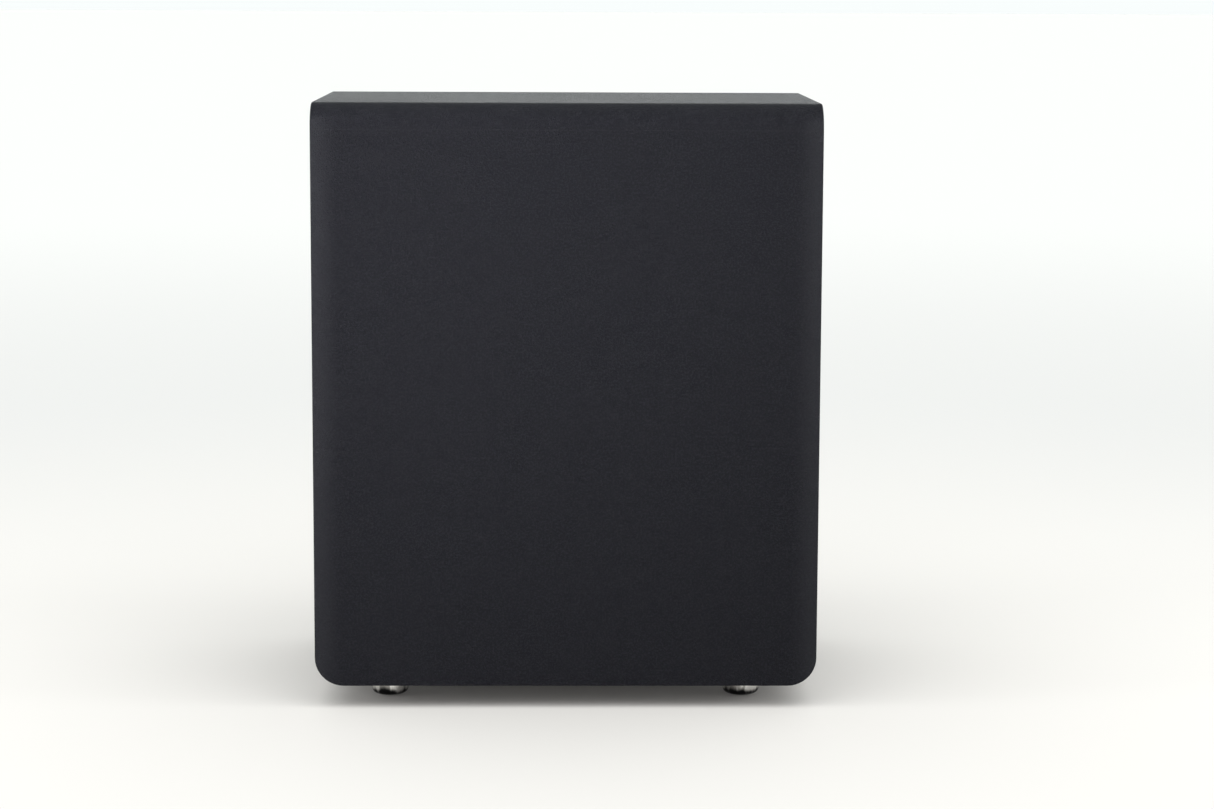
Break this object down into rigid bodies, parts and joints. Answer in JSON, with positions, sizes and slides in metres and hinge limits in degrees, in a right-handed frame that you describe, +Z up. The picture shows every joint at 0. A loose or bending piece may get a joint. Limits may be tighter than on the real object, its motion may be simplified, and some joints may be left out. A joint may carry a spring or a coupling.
{
  "type": "subwoofer",
  "caption": "Slim upright box loudspeaker for bass, textured dark paint, rounded top edges, polished round feet; driver and port on one narrow side, recessed amplifier panel on the other.",
  "frame": {"origin": "centre of the footprint, on the floor under the feet", "axes": "+Z up; -X is the narrow side with the driver and the port, +X the narrow side with the amplifier panel, -Y and +Y the two plain large sides"},
  "size_m": [0.35, 0.228, 0.421],
  "materials": {
    "cabinet": "fibreboard under fine-grained textured dark satin paint",
    "raw_board": "bare fibreboard",
    "wadding": "loose white polyester",
    "foot_chrome": "polished",
    "foot_rubber": "matte",
    "zinc": "zinc plated",
    "guard_paint": "satin black paint on steel",
    "frame_paint": "powder coat on pressed steel",
    "foam_gasket": "closed-cell foam",
    "black_screw": "black oxide steel",
    "surround_rubber": "satin moulded",
    "cone_skin": "mica-filled polypropylene",
    "cap_skin": "satin",
    "former_foil": "thin foil",
    "copper_wire": "enamelled copper wire",
    "spider_cloth": "resin-treated cloth",
    "plated_steel": "zinc plated",
    "ferrite": "dark ferrite",
    "strip_board": "brown fibre board with tinned lugs",
    "braid": "braided copper",
    "port_plastic": "fine-grained moulded",
    "plate_paint": "textured powder coat on aluminium",
    "knob_plastic": "satin",
    "part_plastic": "moulded",
    "lever_plastic": "ribbed",
    "jack_metal": "gold-toned plating",
    "jack_plastic": "moulded",
    "light_lens": "tinted",
    "sink_metal": "black anodised",
    "circuit_board": "lacquered",
    "can_sleeve": "shrink sleeve",
    "winding_tape": "polyester tape over copper",
    "pin_brass": "nickel plated",
    "drawer_plastic": "moulded",
    "fuse_glass": "clear tube with metal ends",
    "rocker_plastic": "moulded",
    "lead_sleeve": "soft insulation",
    "clip_plastic": "nylon"
  },
  "bodies": {
    "cabinet": {"near_side_panel": "cabinet", "far_side_panel": "cabinet", "top_panel": "cabinet", "bottom_panel": "cabinet", "front_baffle": "cabinet", "rear_panel": "cabinet", "window_brace": "raw_board", "driver_backing_ring": "raw_board", "rear_batten_frame": "raw_board", "wadding": "wadding", "foot_shells": "foot_chrome", "foot_pads": "foot_rubber", "foot_bolts": "zinc", "foot_inserts": "zinc", "board_standoffs": "zinc", "transformer_clamp": "zinc", "driver_frame": "frame_paint", "driver_gasket": "foam_gasket", "amp_gasket": "foam_gasket", "driver_screws": "black_screw", "amp_screws": "black_screw", "surround": "surround_rubber", "spider": "spider_cloth", "magnet_top_plate": "plated_steel", "pole_yoke": "plated_steel", "magnet": "ferrite", "terminal_strip": "strip_board", "tinsel_leads": "braid", "port_flare": "port_plastic", "port_tube": "port_plastic", "amp_plate": "plate_paint", "control_pots": "part_plastic", "slide_switch_bodies": "part_plastic", "jack_block": "part_plastic", "inlet_housing": "part_plastic", "rocker_housing": "part_plastic", "lead_socket": "part_plastic", "output_devices": "part_plastic", "jack_shells": "jack_metal", "jack_insulators": "jack_plastic", "status_light": "light_lens", "heat_sink": "sink_metal", "amp_board": "circuit_board", "capacitors": "can_sleeve", "transformer": "winding_tape", "inlet_pins": "pin_brass", "speaker_leads": "lead_sleeve", "lead_clip": "clip_plastic"},
    "cone_assembly": {"cone": "cone_skin", "dust_cap": "cap_skin", "coil_former": "former_foil", "coil_winding": "copper_wire"},
    "guard": {"driver_guard": "guard_paint"},
    "level_control": {"level_knob": "knob_plastic"},
    "crossover_control": {"crossover_knob": "knob_plastic"},
    "phase_switch": {"phase_lever": "lever_plastic"},
    "mode_switch": {"mode_lever": "lever_plastic"},
    "power_rocker": {"rocker_cap": "rocker_plastic"},
    "fuse_holder": {"fuse_drawer": "drawer_plastic", "fuse": "fuse_glass"}
  },
  "joints": [
    {"name": "cone_travel", "type": "slide", "parent": "cabinet", "child": "cone_assembly", "axis": [-1, 0, 0], "range_m": [-0.007, 0.007], "stiffness_N_per_m": 2000, "deforming": ["surround", "spider", "tinsel_leads"]},
    {"name": "guard_pull", "type": "slide", "parent": "cabinet", "child": "guard", "axis": [-1, 0, 0], "range_m": [0, 0.06]},
    {"name": "level_turn", "type": "hinge", "parent": "cabinet", "child": "level_control", "pos_m": [0.17, -0.038, 0.284], "axis": [-1, 0, 0], "range_deg": [-150, 150]},
    {"name": "crossover_turn", "type": "hinge", "parent": "cabinet", "child": "crossover_control", "pos_m": [0.17, 0.038, 0.284], "axis": [-1, 0, 0], "range_deg": [-150, 150]},
    {"name": "phase_slide", "type": "slide", "parent": "cabinet", "child": "phase_switch", "axis": [0, 1, 0], "range_m": [0, 0.004]},
    {"name": "mode_slide", "type": "slide", "parent": "cabinet", "child": "mode_switch", "axis": [0, 1, 0], "range_m": [0, 0.006]},
    {"name": "power_rock", "type": "hinge", "parent": "cabinet", "child": "power_rocker", "pos_m": [0.1605, 0.038, 0.095], "axis": [0, 1, 0], "range_deg": [0, 14]},
    {"name": "fuse_pull", "type": "slide", "parent": "cabinet", "child": "fuse_holder", "axis": [1, 0, 0], "range_m": [0, 0.018]}
  ]
}
